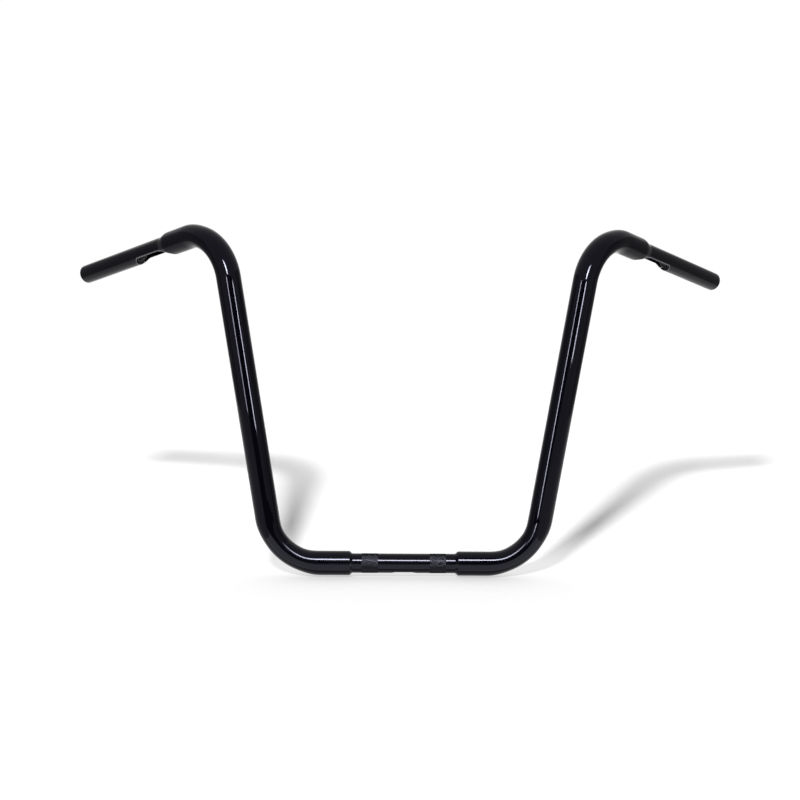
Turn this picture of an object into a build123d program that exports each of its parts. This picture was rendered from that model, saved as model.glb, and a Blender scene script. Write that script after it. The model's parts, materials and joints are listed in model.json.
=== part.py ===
"""Ape hanger handlebar: a steel weldment of five tubes, in millimetres.

X runs along the clamp section, with left and right as seen from the front. +Y points back to the
rider and +Z is up. The origin is the middle of the clamp section, on its centre line.
"""

import os
from math import cos, radians, sin

from build123d import *

# Tubes: an inch tube for the clamp section and the grips, and a fatter one with an inch bore between
# them. The slim tubes are turned down to slip into the fat ones, with a weld groove at the mouth.
slim_diameter = 25.4
slim_wall = 3.0
fat_diameter = 31.75
slip_clearance = 0.2
weld_groove = 1.0

# Clamp section, with two knurled bands for the risers
clamp_section_length = 133.4
clamp_insert = 34.0
clamp_spacing = 88.9
knurl_width = 21.0
knurl_rise = 0.2
wire_hole_length = 33.0
wire_hole_width = 13.4

# Base corners, uprights and grips, measured on the tubes' centre line
base_half_width = 168.5
top_corner_height = 435.5
upright_lean = 9.1
lower_bend_radius = 70.0
upper_bend_radius = 58.0
pullback_angle = 45.0
droop_angle = 13.7
grip_run = 300.0

# A bent tube flattens in the plane of the bend and spreads across it, as shares of its radius
bend_flattening = 0.093
bend_spread = 0.056
bend_ease = 0.3
bend_stations = 9

# Ends of the fat tube: a short weld shoulder at the clamp, a dressed taper at the grip
shoulder_length = 4.0
neck_length = 12.5
lip_thickness = 0.4

# Grips: bare length past the neck, length inside it, rounded ends
grip_bare_length = 180.0
grip_insert = 36.0
grip_rim_radius = 2.0
grip_inner_break = 0.6

# Wiring slots under the grips, cut through the neck and the grip tube after welding, turned forward
slot_length = 79.0
slot_width = 21.6
slot_reach_into_neck = 23.0
slot_turn = {"left": -2.0, "right": -8.0}

slim_radius = slim_diameter / 2
slim_bore_radius = slim_radius - slim_wall
fat_radius = fat_diameter / 2
spigot_radius = slim_radius - slip_clearance
fat_wall = fat_radius - slim_radius
end_step = fat_wall - lip_thickness
side_sign = {"left": -1, "right": 1}


def base_corner(side):
    """Corner of the centre line where the clamp section turns up into the upright."""
    return Vector(side_sign[side] * base_half_width, 0, 0)


def top_corner(side):
    """Corner of the centre line where the upright turns back into the grip."""
    lean = radians(upright_lean)
    outward = top_corner_height * sin(lean) / cos(lean)
    return base_corner(side) + Vector(side_sign[side] * outward, 0, top_corner_height)


def grip_direction(side):
    """Unit vector along the grip, from the top corner to the grip's end."""
    pullback, droop = radians(pullback_angle), radians(droop_angle)
    level = cos(droop)
    return Vector(side_sign[side] * level * cos(pullback), level * sin(pullback), -sin(droop))


def grip_point(side, to_end):
    """Point on the grip's centre line, a distance in from its end."""
    return top_corner(side) + grip_direction(side) * (grip_run - to_end)


def upright_route(side):
    """Edges of the fat tube's centre line: three straight runs joined by two bends."""
    base_end = Vector(side_sign[side] * clamp_section_length / 2, 0, 0)
    neck_end = grip_point(side, grip_bare_length)
    with BuildLine(mode=Mode.PRIVATE) as route:
        FilletPolyline(
            base_end,
            base_corner(side),
            top_corner(side),
            neck_end,
            radius=[lower_bend_radius, upper_bend_radius],
        )
    return route.edges()


def flattening_share(fraction):
    """Share of the full flattening at a fraction of a bend: none at its ends, eased to all inside."""
    eased = min(min(fraction, 1 - fraction) / bend_ease, 1)
    return eased * eased * (3 - 2 * eased)


def bend_section(bend, fraction, inset):
    """Oval section of a bend, its long axis across the plane of the bend."""
    across = (bend % 0).cross(bend % 1).normalized()
    share = flattening_share(fraction)
    wide = fat_radius * (1 + bend_spread * share) - inset
    narrow = fat_radius * (1 - bend_flattening * share) - inset
    section_plane = Plane(origin=bend @ fraction, x_dir=across, z_dir=bend % fraction)
    with BuildSketch(section_plane, mode=Mode.PRIVATE) as oval:
        Ellipse(wide, narrow)
    return oval.sketch


def run_tube(route, inset, mode):
    """Solid along a route, round on its straight runs and oval in its bends, inset from the outside."""
    for run in route:
        if run.geom_type == GeomType.LINE:
            with BuildSketch(Plane(origin=run @ 0, z_dir=run % 0), mode=Mode.PRIVATE) as ring:
                Circle(fat_radius - inset)
            extrude(ring.sketch, amount=run.length, mode=mode)
        else:
            fractions = [station / (bend_stations - 1) for station in range(bend_stations)]
            sections = [bend_section(run, fraction, inset) for fraction in fractions]
            sweep(sections, path=run, multisection=True, mode=mode)


def cut_slot(side):
    """Cut the wiring slot out of the underside, from the grip's centre line down."""
    along = grip_direction(side)
    middle = grip_point(side, grip_bare_length + slot_reach_into_neck - slot_length / 2)
    forward = along.cross(Vector(0, 0, 1)).normalized() * side_sign[side]
    down = along.cross(forward) * side_sign[side]
    turn = radians(slot_turn[side])
    facing = down * cos(turn) + forward * sin(turn)
    with BuildSketch(Plane(origin=middle, x_dir=along, z_dir=facing), mode=Mode.PRIVATE) as window:
        SlotOverall(slot_length, slot_width)
    extrude(window.sketch, amount=fat_diameter, mode=Mode.SUBTRACT)


def outer_edge(face):
    """The larger circle of a tube's end face."""
    return face.edges().sort_by(SortBy.RADIUS)[-1]


def inner_edge(face):
    """The smaller circle of a tube's end face."""
    return face.edges().sort_by(SortBy.RADIUS)[0]


os.makedirs("parts", exist_ok=True)

# Centre tube: the clamp section, its ends hidden inside the uprights, a wire hole under its middle
with BuildPart() as centre_tube:
    half_section = clamp_section_length / 2
    for half_length, radius in (
        (half_section - weld_groove, slim_radius),
        (half_section + clamp_insert, spigot_radius),
    ):
        with BuildSketch(Plane.YZ):
            Circle(radius)
            Circle(slim_bore_radius, mode=Mode.SUBTRACT)
        extrude(amount=half_length, both=True)
    for band_middle in (-clamp_spacing / 2, clamp_spacing / 2):
        with BuildSketch(Plane.YZ.offset(band_middle - knurl_width / 2)):
            Circle(slim_radius + knurl_rise)
            Circle(slim_radius, mode=Mode.SUBTRACT)
        extrude(amount=knurl_width)
    with BuildSketch(Plane.XY):
        SlotOverall(wire_hole_length, wire_hole_width)
    extrude(amount=-slim_diameter, mode=Mode.SUBTRACT)
centre_tube.part.label = "centre_tube"
export_step(centre_tube.part, "parts/centre_tube.step")

for side in side_sign:
    grip_axis = Axis(top_corner(side), grip_direction(side))
    base_axis = Axis((0, 0, 0), (side_sign[side], 0, 0))

    # Upright: the fat tube, bent twice, shouldered over the clamp tube and tapered onto the grip tube
    with BuildPart() as upright:
        upright_line = upright_route(side)
        run_tube(upright_line, 0, Mode.ADD)
        run_tube(upright_line, fat_wall, Mode.SUBTRACT)
        base_face = upright.faces().filter_by(GeomType.PLANE).filter_by(base_axis).sort_by(base_axis)[0]
        chamfer(outer_edge(base_face), length=end_step, length2=shoulder_length, reference=base_face)
        neck_face = upright.faces().filter_by(GeomType.PLANE).filter_by(grip_axis).sort_by(grip_axis)[-1]
        chamfer(outer_edge(neck_face), length=end_step, length2=neck_length, reference=neck_face)
        cut_slot(side)
    upright.part.label = f"{side}_upright"
    export_step(upright.part, f"parts/{side}_upright.step")

    # Grip tube: slipped into the neck, slotted for the wires, open at its rounded end
    with BuildPart() as grip_tube:
        for length, radius in (
            (grip_bare_length - weld_groove, slim_radius),
            (grip_bare_length + grip_insert, spigot_radius),
        ):
            with BuildSketch(Plane(origin=grip_point(side, length), z_dir=grip_direction(side))):
                Circle(radius)
                Circle(slim_bore_radius, mode=Mode.SUBTRACT)
            extrude(amount=length)
        end_face = grip_tube.faces().filter_by(GeomType.PLANE).sort_by(grip_axis)[-1]
        fillet(outer_edge(end_face), grip_rim_radius)
        end_face = grip_tube.faces().filter_by(GeomType.PLANE).sort_by(grip_axis)[-1]
        chamfer(inner_edge(end_face), grip_inner_break)
        cut_slot(side)
    grip_tube.part.label = f"{side}_grip_tube"
    export_step(grip_tube.part, f"parts/{side}_grip_tube.step")
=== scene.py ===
"""Ape hanger handlebar: a welded, gloss black motorbike handlebar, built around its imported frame."""

import json

import bmesh
import bpy
import numpy as np
from bpy.props import FloatProperty, FloatVectorProperty, IntProperty, PointerProperty
from mathutils import Matrix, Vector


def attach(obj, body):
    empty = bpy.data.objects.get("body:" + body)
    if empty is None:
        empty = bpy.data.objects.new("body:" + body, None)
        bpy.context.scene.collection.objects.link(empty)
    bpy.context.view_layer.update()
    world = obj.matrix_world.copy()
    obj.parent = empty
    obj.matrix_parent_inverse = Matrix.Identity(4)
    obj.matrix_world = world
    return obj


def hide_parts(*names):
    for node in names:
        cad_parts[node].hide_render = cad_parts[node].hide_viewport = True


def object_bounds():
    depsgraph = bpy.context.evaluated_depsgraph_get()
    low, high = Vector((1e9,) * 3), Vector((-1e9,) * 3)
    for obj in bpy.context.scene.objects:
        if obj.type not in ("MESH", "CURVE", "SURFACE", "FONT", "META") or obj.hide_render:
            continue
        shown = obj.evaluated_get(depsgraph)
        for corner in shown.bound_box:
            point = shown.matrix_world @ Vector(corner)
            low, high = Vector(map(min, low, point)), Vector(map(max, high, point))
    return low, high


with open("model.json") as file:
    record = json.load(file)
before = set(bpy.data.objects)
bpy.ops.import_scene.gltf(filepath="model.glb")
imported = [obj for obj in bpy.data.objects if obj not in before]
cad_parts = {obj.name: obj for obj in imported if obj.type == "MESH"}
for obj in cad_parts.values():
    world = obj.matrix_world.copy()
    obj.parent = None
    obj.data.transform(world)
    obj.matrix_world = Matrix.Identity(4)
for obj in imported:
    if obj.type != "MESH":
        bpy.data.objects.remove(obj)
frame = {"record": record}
CAD_BOX = [list(corner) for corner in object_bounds()]

bl_info = {
    "name": "Ape Hanger Handlebar",
    "version": (1, 0, 0),
    "blender": (4, 5, 0),
    "location": "View3D > Sidebar > Handlebar",
    "description": "Builds a tall welded handlebar and the studio it stands in",
    "category": "Mesh",
}

SIDES = {"left": -1.0, "right": 1.0}

# Columns of faces round a plain tube, and rows of points along a bend and along a knurled band
TUBE_COLUMNS = 128
BEND_ROWS = 56
KNURL_ROWS = 106

# Two rows of points this far to both sides of a step keep it crisp
STEP_GAP = 1e-5

# Points closer than this are merged, shorter edges are closed, and sharper turns are shaded as edges
MERGE_DISTANCE = 2e-6
SHORTEST_EDGE = 1e-6
SHARP_TURN = np.radians(38)

# Height of the low lamp and of the side cards' feet above the floor
FLOOR_CLEARANCE = 0.001


def length(name, default, description):
    """A size in metres, as a property."""
    return FloatProperty(name=name, description=description, default=default, unit="LENGTH", precision=5)


def angle(name, degrees, description):
    """An angle, stated in degrees, as a property in radians."""
    return FloatProperty(name=name, description=description, default=np.radians(degrees), subtype="ANGLE")


def share(name, default, description):
    """A plain share or factor, as a property."""
    return FloatProperty(name=name, description=description, default=default, subtype="FACTOR")


def watts(name, default, description):
    """A lamp's power in watts, as a property."""
    return FloatProperty(name=name, description=description, default=default, unit="POWER")


def shade(name, default, description):
    """A colour, as a property."""
    return FloatVectorProperty(
        name=name, description=description, default=default, subtype="COLOR", min=0.0, max=1.0
    )


class HandlebarSizes(bpy.types.PropertyGroup):
    """Sizes of the tubes, bends, knurls and wiring slots."""

    slim_radius: length("Slim radius", 0.0127, "Outside of the clamp section and the grips")
    slim_bore: length("Slim bore", 0.0097, "Inside radius of the slim tubes")
    fat_radius: length("Fat radius", 0.015875, "Outside of the uprights")
    slip_clearance: length("Slip clearance", 0.0002, "Gap round a slim tube inside a fat one")
    clamp_length: length("Clamp section", 0.1334, "Length of slim tube between the uprights")
    clamp_insert: length("Clamp insert", 0.034, "Length of the clamp tube inside each upright")
    clamp_spacing: length("Clamp spacing", 0.0889, "Distance between the knurled bands")
    knurl_width: length("Knurl width", 0.021, "Width of a knurled band")
    knurl_rise: length("Knurl rise", 0.0002, "Height of the knurl's points above the tube")
    knurl_depth: length("Knurl depth", 0.0004, "Depth of the knurl's grooves below its points")
    knurl_pitch: length("Knurl pitch", 0.0012, "Length of one knurl diamond along the tube")
    knurl_count: IntProperty(name="Knurl count", description="Diamonds round the tube", default=72)
    hole_length: length("Wire hole length", 0.033, "Length of the hole under the clamp section")
    hole_width: length("Wire hole width", 0.0134, "Width of the hole under the clamp section")
    base_half_width: length("Base half width", 0.1685, "From the middle to the corner of the centre line")
    top_height: length("Top height", 0.4355, "Height of the top corner of the centre line")
    lean: angle("Upright lean", 9.1, "Outward lean of the uprights")
    lower_bend: length("Lower bend", 0.070, "Centre line radius of the lower bend")
    upper_bend: length("Upper bend", 0.058, "Centre line radius of the upper bend")
    pullback: angle("Pullback", 45.0, "Turn of the grips back towards the rider")
    droop: angle("Droop", 13.7, "Fall of the grips towards their ends")
    grip_run: length("Grip run", 0.300, "From the top corner to the end of the grip")
    flattening: share("Bend flattening", 0.093, "Share of the radius lost in the plane of a bend")
    spread: share("Bend spread", 0.056, "Share of the radius gained across the plane of a bend")
    ease: share("Bend ease", 0.3, "Share of a bend over which the flattening grows")
    shoulder: length("Shoulder", 0.0046, "Length of the weld shoulder beside the clamp section")
    shoulder_ease: share("Shoulder ease", 0.22, "Share of the shoulder that is eased at each end")
    neck: length("Neck", 0.02, "Length of the taper onto the grip tube")
    neck_ease: share("Neck ease", 0.35, "Share of the taper that is eased at each end")
    mouth_lip: length("Mouth lip", 0.00006, "Thickness of paint and weld at the mouth of an upright")
    bare_length: length("Bare grip", 0.180, "Length of grip tube past the neck")
    grip_insert: length("Grip insert", 0.036, "Length of grip tube inside the neck")
    rim_radius: length("Rim radius", 0.002, "Rounding of the grip's end")
    rim_break: length("Rim break", 0.0006, "Break of the bore's edge at the grip's end")
    slot_length: length("Slot length", 0.079, "Length of a wiring slot")
    slot_width: length("Slot width", 0.0216, "Width of a wiring slot")
    slot_reach: length("Slot reach", 0.023, "Length of a wiring slot inside the neck")
    slot_turn_left: angle("Left slot turn", -2.0, "Forward turn of the left wiring slot")
    slot_turn_right: angle("Right slot turn", -8.0, "Forward turn of the right wiring slot")
    edge_round: length("Edge round", 0.001, "Rounding of the painted edges of slots and holes")


class PaintLook(bpy.types.PropertyGroup):
    """Colour and finish of the gloss paint."""

    colour: shade("Colour", frame["record"]["materials"][0]["base_color"][:3], "Colour of the paint")
    tint: shade("Tint", (0.8, 0.81, 1.0), "Tint of the paint's plain reflection")
    roughness: share("Roughness", 0.06, "Roughness of the paint")
    gloss: share("Gloss", 0.13, "Strength of the paint's plain reflection")
    waviness: share("Waviness", 0.028, "Strength of the long waves in the paint")
    wave_size: length("Wave size", 0.018, "Distance between the long waves")
    wave_depth: length("Wave depth", 0.0004, "Depth of the long waves at full strength")
    peel: share("Orange peel", 0.025, "Strength of the fine texture of sprayed paint")
    peel_size: length("Peel size", 0.0016, "Distance between the dimples of the fine texture")
    peel_depth: length("Peel depth", 0.00004, "Depth of the dimples at full strength")
    steel: shade("Steel", (0.56, 0.56, 0.57), "Colour of the bare steel inside the tubes")
    steel_roughness: share("Steel roughness", 0.5, "Roughness of the bare steel")
    # Steel on the lips of the cuts is a painted highlight: it gives a light line along each cut.
    lip_highlight_share: share("Lip highlight", 0.35, "How far the steel shows through on the lips of the cuts")


class StageLook(bpy.types.PropertyGroup):
    """Floor, lamps and camera."""

    floor_tone: share("Floor tone", 0.5, "Tone of the floor where it is palest")
    floor_near: share("Floor near", 0.3, "Share of the floor's tone round the clamp section")
    shadow_depth: share("Shadow depth", 0.68, "Share of white that the bar's shadow takes from the floor")
    contact_depth: share("Contact depth", 0.42, "Share of white that the floor loses close to the bar")
    contact_reach: length("Contact reach", 0.3, "Distance within which the bar darkens the floor")
    floor_white: share("Floor white", 1.03, "Level to which the floor behind and below the bar is raised")
    floor_drop: length("Floor drop", 0.002, "Height of the bar above the floor")
    room: share("Room", 0.8, "Strength of the even light from the room")
    soft_power: watts("Soft power", 14.0, "Power of the soft lamp on the bar")
    shadow_place: FloatVectorProperty(
        name="Shadow lamp",
        description="Where the lamp that casts the shadow stands",
        default=(-0.425, -1.957, 1.446),
        unit="LENGTH",
    )
    shadow_power: watts("Shadow power", 420.0, "Power of the lamp that casts the shadow")
    shadow_size: length("Shadow lamp size", 0.22, "Width of the lamp that casts the shadow")
    side_clear: share("Side cards", 0.45, "Share of the room that shows through the side cards")
    low_fill: FloatProperty(
        name="Low fill", description="Radiance of the low lamp that shows in the gloss", default=1.8
    )
    strip_glare: FloatProperty(
        name="Strip glare", description="Radiance of the strips that show in the gloss", default=96.0
    )
    lens: FloatProperty(
        name="Lens", description="Focal length", default=64.37, unit="CAMERA", subtype="NONE"
    )
    distance: length("Camera distance", 1.845362, "From the camera to the point it looks at")
    azimuth: angle("Azimuth", -1.9, "Turn of the camera round the bar")
    elevation: angle("Elevation", 7.0, "Height of the camera as an angle")
    roll: angle("Roll", 0.746, "Tilt of the camera")
    aim_x: length("Aim across", -0.007615, "Where the camera looks, along the clamp section")
    aim_z: length("Aim height", 0.215173, "Where the camera looks, above the clamp section")


def sizes():
    """The bar's sizes in this scene."""
    return bpy.context.scene.handlebar_sizes


def paint_look():
    """The paint's settings in this scene."""
    return bpy.context.scene.handlebar_paint


def stage_look():
    """The stage's settings in this scene."""
    return bpy.context.scene.handlebar_stage


def floor_height():
    """Height of the floor: a small drop below the bar's lowest point."""
    return CAD_BOX[0][2] - stage_look().floor_drop


def turned(vectors, axis, turn):
    """Vectors turned about a unit axis: v cos a + (axis x v) sin a + axis (axis . v)(1 - cos a)."""
    vectors, turn = np.asarray(vectors, float), np.asarray(turn, float)[..., None]
    along = (vectors @ axis)[..., None] * axis
    return vectors * np.cos(turn) + np.cross(axis, vectors) * np.sin(turn) + along * (1 - np.cos(turn))


def unit(vector):
    """The vector at length one."""
    return np.asarray(vector, float) / np.linalg.norm(vector)


def top_corner(sign):
    """Corner where an upright's centre line turns back, out by its height times the lean's tangent."""
    size = sizes()
    out = size.base_half_width + size.top_height * np.tan(size.lean)
    return np.array([sign * out, 0.0, size.top_height])


def grip_along(sign):
    """Unit vector along a grip: level part turned back by the pullback, falling by the droop."""
    size = sizes()
    level = np.cos(size.droop)
    out, back = level * np.cos(size.pullback), level * np.sin(size.pullback)
    return np.array([sign * out, back, -np.sin(size.droop)])


def grip_point(sign, to_end):
    """Point on a grip's centre line, a distance in from its end."""
    return top_corner(sign) + grip_along(sign) * (sizes().grip_run - to_end)


def slot_facing(side):
    """Unit vector out of a wiring slot: straight down across the grip, turned forward by its own turn."""
    size, sign = sizes(), SIDES[side]
    along = grip_along(sign)
    forward = unit(np.cross(along, (0, 0, 1))) * sign
    down = np.cross(along, forward) * sign
    turn = size.slot_turn_left if side == "left" else size.slot_turn_right
    return down * np.cos(turn) + forward * np.sin(turn)


def straight_route(start, along, facing):
    """Centre line of a straight tube: start + along * s, with the facing vector and its cross vector."""

    def route(s):
        rows = np.ones((len(s), 1))
        centre = start + along * s[:, None]
        return centre, rows * facing, rows * np.cross(along, facing), 0 * rows, rows * facing

    return route


def bent_route(sign, facing):
    """Centre line of an upright, by the distance s along it: straight runs joined by two arcs.

    The direction is the first run's, turned about each bend's axis by the share of the bend that lies
    before s. An arc of radius r adds r (t sin a + (axis x t)(1 - cos a)). The facing vector is carried
    along by the same turns, so that it ends as given. Returns the route and the marks along it.
    """
    size = sizes()
    corners = np.array(
        [
            [sign * size.clamp_length / 2, 0, 0],
            [sign * size.base_half_width, 0, 0],
            top_corner(sign),
            grip_point(sign, size.bare_length),
        ]
    )
    legs = np.diff(corners, axis=0)
    lengths = np.linalg.norm(legs, axis=1)
    ways = legs / lengths[:, None]
    axes = [unit(np.cross(ways[i], ways[i + 1])) for i in range(2)]
    bends = np.arccos([ways[0] @ ways[1], ways[1] @ ways[2]])
    radii = np.array([size.lower_bend, size.upper_bend])
    tangent = radii * np.tan(bends / 2)
    runs = lengths - np.array([tangent[0], tangent.sum(), tangent[1]])
    arcs = radii * bends
    marks = np.cumsum([0, runs[0], arcs[0], runs[1], arcs[1], runs[2]])
    first_facing = turned(turned(facing, axes[1], -bends[1]), axes[0], -bends[0])

    def bend_share(a):
        """Share of the full flattening: an eased ramp up from the bend's start and down to its end."""
        ramp = np.clip(np.minimum(a, 1 - a) / size.ease, 0, 1)
        return ramp * ramp * (3 - 2 * ramp)

    def route(s):
        turn_0 = np.clip(s - marks[1], 0, arcs[0]) / radii[0]
        turn_1 = np.clip(s - marks[3], 0, arcs[1]) / radii[1]
        centre = corners[0] + ways[0] * np.clip(s, None, marks[1])[:, None]
        for way, axis, radius, turn in zip(ways, axes, radii, (turn_0, turn_1)):
            inward = np.cross(axis, way)
            ahead, aside = np.sin(turn)[:, None], 1 - np.cos(turn)[:, None]
            centre = centre + radius * (way * ahead + inward * aside)
        centre = centre + ways[1] * np.clip(s - marks[2], 0, runs[1])[:, None]
        centre = centre + ways[2] * np.clip(s - marks[4], 0, None)[:, None]
        rows = np.ones((len(s), 1))
        first = turned(turned(rows * first_facing, axes[0], turn_0), axes[1], turn_1)
        along = turned(turned(rows * ways[0], axes[0], turn_0), axes[1], turn_1)
        flat = bend_share(turn_0 / bends[0]) + bend_share(turn_1 / bends[1])
        normal = np.where((s < (marks[2] + marks[3]) / 2)[:, None], axes[0], axes[1])
        return centre, first, np.cross(along, first), flat[:, None], normal

    return route, marks


def wall_points(route, s, radius, around):
    """Points of a tube wall: centre(s) + radius * d, where d turns round the tube from the facing side.

    In a bend d is shortened in the bend's plane and lengthened across it, by the share of flattening.
    """
    size = sizes()
    centre, first, second, flat, normal = route(s)
    d = np.cos(around)[..., None] * first[:, None] + np.sin(around)[..., None] * second[:, None]
    across = np.einsum("kjc,kc->kj", d, normal)[..., None] * normal[:, None]
    narrow = radius - size.fat_radius * size.flattening * flat
    wide = size.fat_radius * (size.flattening + size.spread) * flat
    return centre[:, None] + narrow[..., None] * d + wide[..., None] * across


def grid_faces(rows, columns, closed):
    """Quads of a grid of points, wound outward, with the last row joined to the first if closed."""
    k, j = np.meshgrid(np.arange(rows if closed else rows - 1), np.arange(columns - 1), indexing="ij")
    here, after = k * columns + j, (k + 1) % rows * columns + j
    return np.stack([here, here + 1, after + 1, after], -1).reshape(-1, 4)


def ramp_profile(count, low, high, span, ease):
    """A straight taper from a low to a high radius with both corners eased, as places and radii.

    The slope is a flat-topped bump over the span, eased over a share of it at each end, and summed up.
    """
    t = np.linspace(0, 1, count)
    fine = np.linspace(0, 1, 400)
    slope = np.clip(np.minimum(fine, 1 - fine) / ease, 0, 1)
    rise = np.cumsum(slope * slope * (3 - 2 * slope))
    rise = (rise - rise[0]) / (rise[-1] - rise[0])
    return span * t, low + (high - low) * np.interp(t, fine, rise)


def window_rows(start, end, width, edge, open_end, caps=14, plain=12, extra=()):
    """Rows of a round-ended window along a tube: a half circle, a straight run and a half circle.

    Each row has its place and half width on the true outline, c - r cos a and r sin a, and on the outline
    grown by the edge's rounding. A window with an open end stops on the tube's mouth.
    """
    r = width / 2
    a = np.linspace(0, np.pi / 2, caps + 1)
    run_end = end if open_end else end - r
    run = np.unique(np.concatenate([np.linspace(start + r, run_end, plain), extra]))[1:]
    true_s = [start + r - r * np.cos(a), run]
    grown_s = [start + r - (r + edge) * np.cos(a), run]
    half = [np.sin(a), np.ones(len(run))]
    if not open_end:
        back = np.sin(a)[1:]
        true_s.append(run_end + r * back)
        grown_s.append(run_end + (r + edge) * back)
        half.append(np.cos(a)[1:])
    half = np.concatenate(half)
    return np.concatenate(true_s), np.concatenate(grown_s), r * half, (r + edge) * half


def rim_points(route, true_s, grown_s, half, grown_half, outer, inner, edge, steps=5, lip_share=0.8):
    """Edge of a window, from the outer wall to the inner one: a rounded lip, the cut face, a level ledge.

    The lip is a curve from the grown outline, bent at the true outline's corner, down the cut face, and
    takes up no more than a share of it. The cut face ends on the inner wall, or level with the centre
    line where the window is wider than the bore.
    """

    def corner(radius, width):
        """Height at which a wall of this radius meets a cut of this half width."""
        return np.sqrt(np.clip(radius**2 - width**2, 0, None))

    deep = corner(inner, half)
    lip = np.minimum(edge, lip_share * (corner(outer, half) - deep))
    ends = (
        np.stack([grown_s, grown_half, corner(outer, grown_half)], -1),
        np.stack([true_s, half, corner(outer, half)], -1),
        np.stack([true_s, half, corner(outer, half) - lip], -1),
    )
    t = np.linspace(0, 1, steps)[:, None, None]
    curve = (1 - t) ** 2 * ends[0] + 2 * t * (1 - t) * ends[1] + t**2 * ends[2]
    foot = np.stack([true_s, half, deep], -1)
    bore = np.stack([true_s, np.minimum(half, inner), deep], -1)
    path = np.concatenate([curve, foot[None], bore[None]])
    sides = []
    for mirror in (1, -1):
        s, across, height = path[..., 0], mirror * path[..., 1], path[..., 2]
        centre, first, second = route(s.ravel())[:3]
        points = centre + second * across.ravel()[:, None] + first * height.ravel()[:, None]
        sides.append(points.reshape(*s.shape, 3))
    return np.concatenate([sides[0], sides[1][:, ::-1]], axis=1)


def slotted_tube(route, s, radius, half, columns, rim, bare_from=None):
    """A closed tube wall, its rows along the outside and back along the bore, open where it has a window.

    Row k is the arc from a to 2 pi - a round the tube, where sin a is the window's half width there over
    the row's radius. The window's edge joins the outside to the bore. The bore has no paint from the given
    row on. The rounded lip, all but the edge's last two rows, is partly steel as a painted highlight.
    """
    # Steel mixed into the paint on the rounded lip is a painted highlight, a light line along the cut's
    # edge.
    lip_highlight = np.full(len(rim) - 1, paint_look().lip_highlight_share)
    lip_highlight[-2:] = 0.0
    rows = np.arange(len(s))
    bare = (rows >= bare_from) & (rows < len(s) - 1) if bare_from else np.zeros(len(s))
    radius = np.broadcast_to(radius.reshape(len(s), -1), (len(s), columns + 1))
    opening = np.arcsin(np.clip(half / radius.min(axis=1), 0, 1))[:, None]
    t = np.linspace(0, 1, columns + 1)
    around = opening + t * (2 * np.pi - 2 * opening)
    points = wall_points(route, s, radius, around)
    return [(points, True, bare), (rim, False, lip_highlight)]


def add_mesh(name, grids):
    """A smooth mesh from grids of points, with the seams between them joined and the faces wound outward.

    Each grid says whether it closes on itself, and how much steel each of its rows of faces shows:
    the bare bore, and on the lips of the cuts a painted highlight.
    """
    points, faces, bare, offset = [], [], [], 0
    for grid, closed, bare_rows in grids:
        rows, columns = grid.shape[:2]
        points.append(grid.reshape(-1, 3))
        faces.append(grid_faces(rows, columns, closed) + offset)
        bare.append(np.repeat(bare_rows, columns - 1))
        offset += rows * columns
    mesh = bpy.data.meshes.new(name)
    mesh.from_pydata(np.concatenate(points), [], np.concatenate(faces))
    bare = np.concatenate(bare).astype("f4")
    mesh.attributes.new("bare", "FLOAT", "FACE").data.foreach_set("value", bare)
    work = bmesh.new()
    work.from_mesh(mesh)
    bmesh.ops.remove_doubles(work, verts=work.verts, dist=MERGE_DISTANCE)
    bmesh.ops.dissolve_degenerate(work, edges=work.edges, dist=SHORTEST_EDGE)
    bmesh.ops.recalc_face_normals(work, faces=work.faces)
    work.to_mesh(mesh)
    work.free()
    mesh.shade_smooth()
    mesh.set_sharp_from_angle(angle=SHARP_TURN)
    piece = bpy.data.objects.new(name, mesh)
    bpy.context.collection.objects.link(piece)
    return piece


def add_piece(name, grids, node):
    """A painted piece that stands for a node of the frame."""
    piece = add_mesh(name, grids)
    piece.data.materials.append(paint_material())
    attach(piece, "root")
    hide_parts(node)


def node_tree(owner):
    """The node tree of a material or world, cleared, with a short way to add nodes to it."""
    owner.use_nodes = True
    tree = owner.node_tree
    tree.nodes.clear()

    def add(kind, **values):
        node = tree.nodes.new(kind)
        for key, value in values.items():
            setattr(node, key, value)
        return node

    return tree, add


def worked(tree, add, operation, *terms):
    """Result of a sum on sockets and plain numbers."""
    node = add("ShaderNodeMath", operation=operation)
    for socket, term in zip(node.inputs, terms):
        if isinstance(term, float):
            socket.default_value = term
        else:
            tree.links.new(term, socket)
    return node.outputs["Value"]


def seen_by_eye(tree, add):
    """One for rays from the camera, reflected rays and rays through glass, and nought for the rest."""
    path = add("ShaderNodeLightPath")
    total = path.outputs["Is Camera Ray"]
    for kind in ("Is Glossy Ray", "Is Transmission Ray"):
        total = worked(tree, add, "MAXIMUM", total, path.outputs[kind])
    return total


def eased(tree, add, value, start, end, low, high):
    """A socket taken from low to high by an eased step, as the value goes from start to end."""
    node = add("ShaderNodeMapRange", interpolation_type="SMOOTHSTEP")
    tree.links.new(value, node.inputs["Value"])
    for socket, number in (("From Min", start), ("From Max", end), ("To Min", low), ("To Max", high)):
        node.inputs[socket].default_value = number
    return node.outputs["Result"]


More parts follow.
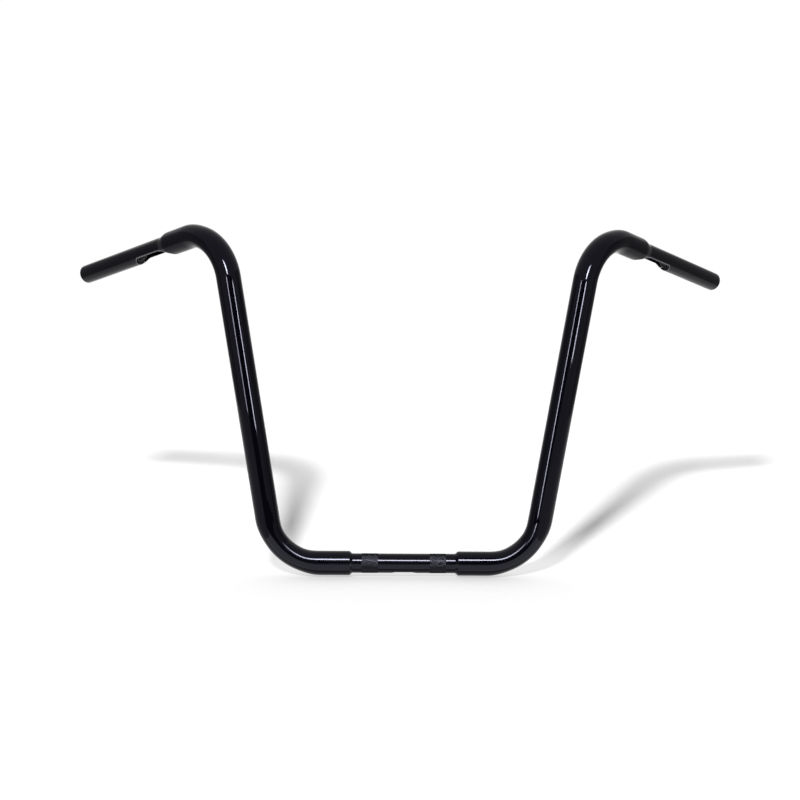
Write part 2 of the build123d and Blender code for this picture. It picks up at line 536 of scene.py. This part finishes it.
def paint_material():
    """Gloss paint with long waves and a fine orange peel, and steel where a face is bare of paint, which on
    the lips of the cuts is a painted highlight.
    """
    name = "gloss_paint"
    if name in bpy.data.materials:
        return bpy.data.materials[name]
    look = paint_look()
    material = bpy.data.materials.new(name)
    tree, add = node_tree(material)
    join = tree.links.new
    place = add("ShaderNodeTexCoord")
    shader = add("ShaderNodeBsdfPrincipled")
    shader.inputs["Specular IOR Level"].default_value = look.gloss
    shader.inputs["Specular Tint"].default_value = (*look.tint, 1.0)
    # The steel share is the tubes' bare bore, and a painted highlight on the lips of the cuts.
    bare = add("ShaderNodeAttribute", attribute_name="bare").outputs["Fac"]
    colour = add("ShaderNodeMix", data_type="RGBA")
    for socket, value in zip((s for s in colour.inputs if s.type == "RGBA"), (look.colour, look.steel)):
        socket.default_value = (*value, 1.0)
    join(bare, colour.inputs["Factor"])
    roughness = eased(tree, add, bare, 0.0, 1.0, look.roughness, look.steel_roughness)
    join(next(s for s in colour.outputs if s.type == "RGBA"), shader.inputs["Base Color"])
    join(roughness, shader.inputs["Roughness"])
    join(bare, shader.inputs["Metallic"])
    normal = None
    for size, strength, depth in (
        (look.wave_size, look.waviness, look.wave_depth),
        (look.peel_size, look.peel, look.peel_depth),
    ):
        noise = add("ShaderNodeTexNoise")
        noise.inputs["Scale"].default_value = 1.0 / size
        noise.inputs["Detail"].default_value = 1.0
        bump = add("ShaderNodeBump")
        bump.inputs["Strength"].default_value = strength
        bump.inputs["Distance"].default_value = depth
        join(place.outputs["Object"], noise.inputs["Vector"])
        join(noise.outputs["Fac"], bump.inputs["Height"])
        if normal:
            join(normal, bump.inputs["Normal"])
        normal = bump.outputs["Normal"]
    join(normal, shader.inputs["Normal"])
    out = add("ShaderNodeOutputMaterial")
    join(shader.outputs["BSDF"], out.inputs["Surface"])
    return material


class HANDLEBAR_OT_centre_tube(bpy.types.Operator):
    """Clamp section: a slim tube with two knurled bands and a wire hole underneath"""

    bl_idname = "handlebar.centre_tube"
    bl_label = "Centre tube"

    def execute(self, context):
        size = sizes()
        columns = 4 * size.knurl_count
        section = size.clamp_length / 2
        reach = section + size.clamp_insert
        facing = np.array([0.0, 0.0, -1.0])
        route = straight_route(np.zeros(3), np.array([1.0, 0.0, 0.0]), facing)
        true_s, grown_s, half, grown_half = window_rows(
            -size.hole_length / 2, size.hole_length / 2, size.hole_width, size.edge_round, False
        )
        rim = rim_points(
            route, true_s, grown_s, half, grown_half, size.slim_radius, size.slim_bore, size.edge_round
        )
        band_half = size.knurl_width / 2
        band = size.clamp_spacing / 2 + np.linspace(-band_half, band_half, KNURL_ROWS)
        beside_hole = np.linspace(grown_s[-1], band[0], 4)[1:-1]
        right = np.concatenate(
            [
                beside_hole,
                [band[0] - STEP_GAP],
                band,
                [band[-1] + STEP_GAP, (band[-1] + section) / 2],
                [section - STEP_GAP, section + STEP_GAP, (section + reach) / 2, reach],
            ]
        )
        s_out = np.concatenate([-right[::-1], grown_s, right])
        plain = np.zeros(len(right))
        half_out = np.concatenate([plain, grown_half, plain])
        spigot = size.slim_radius - size.slip_clearance
        radius_out = np.where(abs(s_out) > section, spigot, size.slim_radius)
        in_band = abs(abs(s_out) - size.clamp_spacing / 2) < band_half + STEP_GAP / 2
        bore_s = np.concatenate([[-reach], true_s, [reach]])[::-1]
        half_bore = np.concatenate([[0], half, [0]])[::-1]
        s = np.concatenate([s_out, bore_s])
        radius = np.concatenate([radius_out, np.full(len(bore_s), size.slim_bore)])
        knurled = np.concatenate([in_band, np.zeros(len(bore_s))])[:, None]
        relief = self.knurl(s, np.linspace(0, 1, columns + 1)) * knurled
        half_width = np.concatenate([half_out, half_bore])
        grids = slotted_tube(route, s, radius[:, None] + relief, half_width, columns, rim, len(s_out))
        add_piece("centre_tube_painted", grids, "centre_tube")
        return {"FINISHED"}

    def knurl(self, s, around):
        """Height of a diamond knurl above the tube: the lower of two slanting triangle waves.

        The waves run round the tube a whole number of times and cross along it, so their lower one w leaves
        points with grooves between. The height is rise - depth (1 - w), with w from nought to one.
        """
        size = sizes()
        turns, steps = size.knurl_count * around[None, :], s[:, None] / size.knurl_pitch
        waves = [1 - abs(2 * ((turns + way * steps) % 1) - 1) for way in (1, -1)]
        return size.knurl_rise - size.knurl_depth * (1 - np.minimum(*waves))


class HANDLEBAR_OT_uprights(bpy.types.Operator):
    """Uprights: fat tubes bent twice, shouldered at the clamp section and tapered onto the grips"""

    bl_idname = "handlebar.uprights"
    bl_label = "Uprights"

    def execute(self, context):
        for side in SIDES:
            self.build(side)
        return {"FINISHED"}

    def build(self, side):
        """One upright: rows along the outside from the shoulder to the neck, and back along the bore."""
        size, sign = sizes(), SIDES[side]
        route, marks = bent_route(sign, slot_facing(side))
        total = marks[-1]
        lip = size.slim_radius + size.mouth_lip
        shoulder_s, shoulder_r = ramp_profile(16, lip, size.fat_radius, size.shoulder, size.shoulder_ease)
        neck_s, neck_r = ramp_profile(30, size.fat_radius, lip, size.neck, size.neck_ease)
        neck_s = neck_s + total - neck_s[-1]
        runs = [
            np.linspace(shoulder_s[-1], marks[1], 6)[1:-1],
            np.linspace(marks[1], marks[2], BEND_ROWS),
            np.linspace(marks[2], marks[3], 14)[1:-1],
            np.linspace(marks[3], marks[4], BEND_ROWS),
        ]
        slot_start = total - size.slot_reach
        true_s, grown_s, half, grown_half = window_rows(
            slot_start, total, size.slot_width, size.edge_round, True, extra=neck_s
        )
        before = np.concatenate(runs + [[(marks[4] + slot_start) / 2]])
        s_out = np.concatenate([shoulder_s, before, grown_s])
        half_out = np.concatenate([np.zeros(len(shoulder_s) + len(before)), grown_half])
        profile_s = np.concatenate([shoulder_s, neck_s])
        radius_out = np.interp(s_out, profile_s, np.concatenate([shoulder_r, neck_r]))
        bore_s = np.concatenate([[0.0], before, true_s])[::-1]
        half_bore = np.concatenate([np.zeros(len(before) + 1), half])[::-1]
        s = np.concatenate([s_out, bore_s])
        radius = np.concatenate([radius_out, np.full(len(bore_s), size.slim_radius)])
        outer = np.interp(true_s, neck_s, neck_r)
        rim = rim_points(route, true_s, grown_s, half, grown_half, outer, size.slim_radius, size.edge_round)
        half_width = np.concatenate([half_out, half_bore])
        grids = slotted_tube(route, s, radius, half_width, TUBE_COLUMNS, rim)
        add_piece(f"{side}_upright_painted", grids, f"{side}_upright")


class HANDLEBAR_OT_grip_tubes(bpy.types.Operator):
    """Grip tubes: slim tubes slipped into the uprights, slotted underneath, with open, rounded ends"""

    bl_idname = "handlebar.grip_tubes"
    bl_label = "Grip tubes"

    def execute(self, context):
        for side in SIDES:
            self.build(side)
        return {"FINISHED"}

    def build(self, side):
        """One grip tube: rows along the outside, round the rim, and back along the bore."""
        size, sign = sizes(), SIDES[side]
        total = size.bare_length + size.grip_insert
        route = straight_route(grip_point(sign, total), grip_along(sign), slot_facing(side))
        slot_start = size.grip_insert - size.slot_reach
        step = size.grip_insert + np.array([-STEP_GAP, STEP_GAP])
        true_s, grown_s, half, grown_half = window_rows(
            slot_start, slot_start + size.slot_length, size.slot_width, size.edge_round, False, extra=step
        )
        a = np.linspace(0, np.pi / 2, 11)
        rim_s = total - size.rim_radius * (1 - np.sin(a))
        rim_r = size.slim_radius - size.rim_radius * (1 - np.cos(a))
        plain_s = np.linspace(grown_s[-1], rim_s[0], 8)[1:-1]
        s_out = np.concatenate([[0.0], grown_s, plain_s, rim_s, [total]])
        spigot = size.slim_radius - size.slip_clearance
        body_s = s_out[: 1 + len(grown_s) + len(plain_s)]
        body_r = np.where(body_s < size.grip_insert, spigot, size.slim_radius)
        radius_out = np.concatenate([body_r, rim_r, [size.slim_bore + size.rim_break]])
        half_out = np.zeros(len(s_out))
        half_out[1 : 1 + len(grown_s)] = grown_half
        bore_s = np.concatenate([[0.0], true_s, plain_s, [total - size.rim_break]])[::-1]
        half_bore = np.zeros(len(bore_s))
        half_bore[1 + len(plain_s) : 1 + len(plain_s) + len(half)] = half[::-1]
        s = np.concatenate([s_out, bore_s])
        radius = np.concatenate([radius_out, np.full(len(bore_s), size.slim_bore)])
        outer = np.where(true_s < size.grip_insert, spigot, size.slim_radius)
        rim = rim_points(route, true_s, grown_s, half, grown_half, outer, size.slim_bore, size.edge_round)
        half_width = np.concatenate([half_out, half_bore])
        grids = slotted_tube(route, s, radius, half_width, TUBE_COLUMNS, rim, len(s_out) + 1)
        add_piece(f"{side}_grip_tube_painted", grids, f"{side}_grip_tube")


def floor_material():
    """Pale floor: a matt ground that keeps the shadow, with white added for the camera and reflections.

    The ground of tone t gives back t * (3/4 room + p / d^3) at the distance d from the shadow lamp, where
    p = power h / pi^2 for a lamp at the height h, and the backdrop hides a part of the room. Its tone is
    depth d^3 / p, so that the shadow is as deep everywhere, less round the clamp section and none far back.
    The added light makes the ground up to an even white below and behind the bar, which fades to the level
    of the room towards the viewer and to both sides. Close to the bar it is less, by the share of the light
    from above and behind that the bar hides there.
    """
    look = stage_look()
    room_share = 0.75
    white_ahead, white_aside, widening = (-1.2, -0.78), (0.6, 1.1), 0.36
    near_bar, far_back = (0.05, 0.35), (2.0, 4.0)
    upward = (0.0, 0.8, 0.6)
    material = bpy.data.materials.new("pale_floor")
    tree, add = node_tree(material)
    join = tree.links.new

    def step(value, *stops):
        return eased(tree, add, value, *stops)

    def result(operation, *terms):
        return worked(tree, add, operation, *terms)

    place = add("ShaderNodeTexCoord").outputs["Object"]
    parts = add("ShaderNodeSeparateXYZ")
    join(place, parts.inputs["Vector"])
    across, back = parts.outputs["X"], parts.outputs["Y"]
    from_lamp = add("ShaderNodeVectorMath", operation="DISTANCE")
    from_lamp.inputs[1].default_value = look.shadow_place
    join(place, from_lamp.inputs[0])
    aside = result("MULTIPLY_ADD", back, -widening, result("ABSOLUTE", across))
    white = step(back, *white_ahead, 0.0, 1.0)
    white = result("MULTIPLY", white, step(aside, *white_aside, 1.0, 0.0))
    gain = look.shadow_power * (look.shadow_place[2] - floor_height()) / np.pi**2
    cube = result("POWER", from_lamp.outputs["Value"], 3.0)
    tone = result("MINIMUM", result("MULTIPLY", cube, look.shadow_depth / gain), look.floor_tone)
    tone = result("MULTIPLY", tone, step(back, *near_bar, look.floor_near, 1.0))
    tone = result("MULTIPLY", tone, step(back, *far_back, 1.0, 0.0))
    tone = result("MULTIPLY", tone, white)
    lit = result("ADD", result("DIVIDE", gain, cube), room_share * look.room)
    level = result("MULTIPLY_ADD", white, look.floor_white - look.room, look.room)
    hidden = add("ShaderNodeAmbientOcclusion", samples=4)
    hidden.inputs["Distance"].default_value = look.contact_reach
    facing = add("ShaderNodeCombineXYZ")
    for socket, value in zip(facing.inputs, upward):
        socket.default_value = value
    join(facing.outputs["Vector"], hidden.inputs["Normal"])
    contact = result("MULTIPLY_ADD", hidden.outputs["AO"], look.contact_depth, 1.0 - look.contact_depth)
    level = result("MULTIPLY", level, contact)
    raised = result("MAXIMUM", result("SUBTRACT", level, result("MULTIPLY", lit, tone)), 0.0)
    ground = add("ShaderNodeBsdfDiffuse")
    join(tone, ground.inputs["Color"])
    glow = add("ShaderNodeEmission")
    join(result("MULTIPLY", raised, seen_by_eye(tree, add)), glow.inputs["Strength"])
    both = add("ShaderNodeAddShader")
    join(ground.outputs["BSDF"], both.inputs[0])
    join(glow.outputs["Emission"], both.inputs[1])
    out = add("ShaderNodeOutputMaterial")
    join(both.outputs["Shader"], out.inputs["Surface"])
    return material


def add_cards(name, grids, clear):
    """Cards that show in the gloss alone, and let a share of the light behind them through."""
    material = bpy.data.materials.new(name)
    tree, add = node_tree(material)
    smoke = add("ShaderNodeBsdfTransparent")
    smoke.inputs["Color"].default_value = (clear, clear, clear, 1.0)
    out = add("ShaderNodeOutputMaterial")
    tree.links.new(smoke.outputs["BSDF"], out.inputs["Surface"])
    cards = add_mesh(name, [(grid, False, np.zeros(1)) for grid in grids])
    cards.data.materials.append(material)
    cards.visible_camera = cards.visible_diffuse = cards.visible_shadow = False
    cards.visible_transmission = cards.visible_volume_scatter = False


def aim(thing, place, target):
    """Place an object and point its -Z axis at a target, with its X axis level."""
    back = unit(np.subtract(place, target))
    right = unit(np.cross((0, 0, 1), back))
    up = np.cross(back, right)
    thing.matrix_world = Matrix(np.vstack([np.column_stack([right, up, back, place]), (0, 0, 0, 1)]))


def add_lamp(name, place, target, width, height, power):
    """A rectangular lamp."""
    lamp = bpy.data.lights.new(name, "AREA")
    lamp.shape, lamp.size, lamp.size_y, lamp.energy = "RECTANGLE", width, height, power
    thing = bpy.data.objects.new(name, lamp)
    thing.visible_camera = False
    bpy.context.collection.objects.link(thing)
    aim(thing, place, target)
    return thing


def add_strip(name, place, target, width, height, glare, spread=44.0):
    """A lamp that shows in gloss, within its spread, and doesn't light matt surfaces.

    With half the spread a, the power is pi * area * glare * (tan a - a) / tan a.
    """
    half = np.radians(spread / 2)
    power = np.pi * width * height * glare * (np.tan(half) - half) / np.tan(half)
    strip = add_lamp(name, place, target, width, height, power)
    strip.visible_diffuse = False
    strip.data.spread = 2 * half


class HANDLEBAR_OT_stage(bpy.types.Operator):
    """Stage: white floor and backdrop, soft light, strips and cards for the gloss, and the camera"""

    bl_idname = "handlebar.stage"
    bl_label = "Stage"

    def execute(self, context):
        floor = self.floor()
        self.room()
        self.lamps(floor)
        self.strips()
        self.cards()
        self.camera()
        return {"FINISHED"}

    def floor(self):
        """A level floor that curves up into a backdrop: a straight run, a quarter circle and a rise."""
        radius, front, back, high, wide = 1.5, -6.0, 4.0, 5.0, 9.0
        a = np.linspace(0, np.pi / 2, 24)
        y = np.concatenate([[front], back + radius * np.sin(a), [back + radius]])
        z = np.concatenate([[0.0], radius * (1 - np.cos(a)), [high]]) + floor_height()
        x = np.array([-wide, wide])
        grid = np.stack(np.broadcast_arrays(x[None, :], y[:, None], z[:, None]), -1)
        floor = add_mesh("floor", [(grid, False, np.zeros(len(y) - 1))])
        floor.data.materials.append(floor_material())
        return floor

    def room(self):
        """Even white light from all sides."""
        world = bpy.data.worlds.new("room")
        bpy.context.scene.world = world
        tree, add = node_tree(world)
        background = add("ShaderNodeBackground")
        background.inputs["Color"].default_value = (1.0, 1.0, 1.0, 1.0)
        background.inputs["Strength"].default_value = stage_look().room
        out = add("ShaderNodeOutputWorld")
        tree.links.new(background.outputs["Background"], out.inputs["Surface"])

    def lamps(self, floor):
        """A soft lamp that doesn't show in the gloss, and a round one that casts the floor's shadow."""
        look = stage_look()
        soft = add_lamp("soft", (-1.2, -1.6, 1.8), (0.0, 0.0, 0.2), 1.2, 1.2, look.soft_power)
        soft.visible_glossy = False
        wide = look.shadow_size
        shadow = add_lamp("shadow", look.shadow_place, (0.0, 0.3, 0.1), wide, wide, look.shadow_power)
        shadow.data.shape = "DISK"
        floor_only = bpy.data.collections.new("floor_only")
        floor_only.objects.link(floor)
        shadow.light_linking.receiver_collection = floor_only

    def strips(self):
        """Strips for the lines in the gloss: along the uprights, on the bends and on the clamp section.

        A wide dim lamp on the floor shows in the lower half of the clamp section.
        """
        look = stage_look()
        glare = look.strip_glare
        front, near = -0.36, -0.12
        for name, x, low, high, upright_x, part in (
            ("left_outer", -0.31, 0.14, 0.36, -0.215, 0.6),
            ("left_inner", 0.03, 0.16, 0.40, -0.21, 1.0),
            ("right_inner", -0.10, 0.03, 0.435, 0.20, 0.8),
            ("right_outer", 0.245, 0.24, 0.37, 0.22, 1.0),
        ):
            z = (low + high) / 2
            add_strip(
                name=f"{name}_strip",
                place=(x, front, z),
                target=(upright_x, 0.0, z),
                width=0.036,
                height=high - low,
                glare=part * glare,
            )
        for name, x, bend_x in (("left", -0.22, -0.23), ("right", 0.207, 0.23)):
            add_strip(
                name=f"{name}_spark",
                place=(x, front, 0.5),
                target=(bend_x, 0.0, 0.39),
                width=0.05,
                height=0.19,
                glare=2 * glare,
            )
        add_strip(
            name="base_strip",
            place=(0.005, near, 0.12),
            target=(0.005, 0.0, 0.0),
            width=0.30,
            height=0.03,
            glare=1.05 * glare,
            spread=96.0,
        )
        add_strip(
            name="left_bend_strip",
            place=(-0.07, near, 0.025),
            target=(-0.16, 0.0, 0.03),
            width=0.018,
            height=0.03,
            glare=glare,
        )
        add_strip(
            name="low_fill",
            place=(0.0, -0.17, floor_height() + FLOOR_CLEARANCE),
            target=(0.0, -0.168, 0.5),
            width=0.5,
            height=0.3,
            glare=look.low_fill,
            spread=180.0,
        )

    def cards(self):
        """Dark cards close in front of the uprights and the clamp section, and grey ones at both sides."""
        dark_y = -0.15
        corners = np.array(
            [
                [[(-0.2215, 0.02), (-0.1007, 0.02)], [(-0.254, 0.385), (-0.133, 0.385)]],
                [[(0.0715, 0.02), (0.112, 0.02)], [(0.104, 0.385), (0.227, 0.385)]],
                [[(-0.15, 0.03), (0.15, 0.015)], [(-0.15, 0.078), (0.15, 0.042)]],
            ]
        )
        x, z = corners[..., 0], corners[..., 1]
        add_cards("dark_cards", np.stack([x, np.full_like(x, dark_y), z], -1), 0.0)
        side_x, side_y, side_top = 1.0, (-0.3, 1.1), 0.8
        y, z = np.meshgrid(side_y, (floor_height() + FLOOR_CLEARANCE, side_top))
        sides = [np.stack([np.full_like(y, sign * side_x), y, z], -1) for sign in SIDES.values()]
        add_cards("side_cards", sides, stage_look().side_clear)

    def camera(self):
        """The camera, by its distance, azimuth and elevation from the point it looks at, and its roll."""
        look = stage_look()
        level, rise = np.cos(look.elevation), np.sin(look.elevation)
        back = np.array([np.sin(look.azimuth) * level, -np.cos(look.azimuth) * level, rise])
        target = np.array([look.aim_x, 0.0, look.aim_z])
        data = bpy.data.cameras.new("camera")
        data.sensor_width, data.lens = 36.0, look.lens
        data.clip_end = 50.0
        camera = bpy.data.objects.new("camera", data)
        bpy.context.collection.objects.link(camera)
        aim(camera, target + back * look.distance, target)
        camera.matrix_world = camera.matrix_world @ Matrix.Rotation(look.roll, 4, "Z")
        bpy.context.scene.camera = camera
        bpy.context.scene.view_settings.view_transform = "Standard"


class HANDLEBAR_PT_panel(bpy.types.Panel):
    """Sidebar list of the handlebar's steps and settings"""

    bl_idname = "HANDLEBAR_PT_panel"
    bl_label = "Ape hanger handlebar"
    bl_space_type = "VIEW_3D"
    bl_region_type = "UI"
    bl_category = "Handlebar"

    def draw(self, context):
        for operator in OPERATORS:
            self.layout.operator(operator.bl_idname)
        for name, group in GROUPS.items():
            column = self.layout.column(align=True)
            for setting in group.__annotations__:
                column.prop(getattr(context.scene, name), setting)


OPERATORS = (
    HANDLEBAR_OT_centre_tube,
    HANDLEBAR_OT_uprights,
    HANDLEBAR_OT_grip_tubes,
    HANDLEBAR_OT_stage,
)
GROUPS = {
    "handlebar_sizes": HandlebarSizes,
    "handlebar_paint": PaintLook,
    "handlebar_stage": StageLook,
}


def register():
    """Make the settings, operators and panel known, and give each scene its settings."""
    for cls in (*GROUPS.values(), *OPERATORS, HANDLEBAR_PT_panel):
        bpy.utils.register_class(cls)
    for name, group in GROUPS.items():
        setattr(bpy.types.Scene, name, PointerProperty(type=group))


def unregister():
    """Take the settings, panel and operators away again."""
    for name in GROUPS:
        delattr(bpy.types.Scene, name)
    for cls in (HANDLEBAR_PT_panel, *reversed(OPERATORS), *GROUPS.values()):
        bpy.utils.unregister_class(cls)


def main():
    """Build the bar and its stage."""
    register()
    bpy.ops.handlebar.centre_tube()
    bpy.ops.handlebar.uprights()
    bpy.ops.handlebar.grip_tubes()
    bpy.ops.handlebar.stage()


if __name__ == "__main__":
    main()
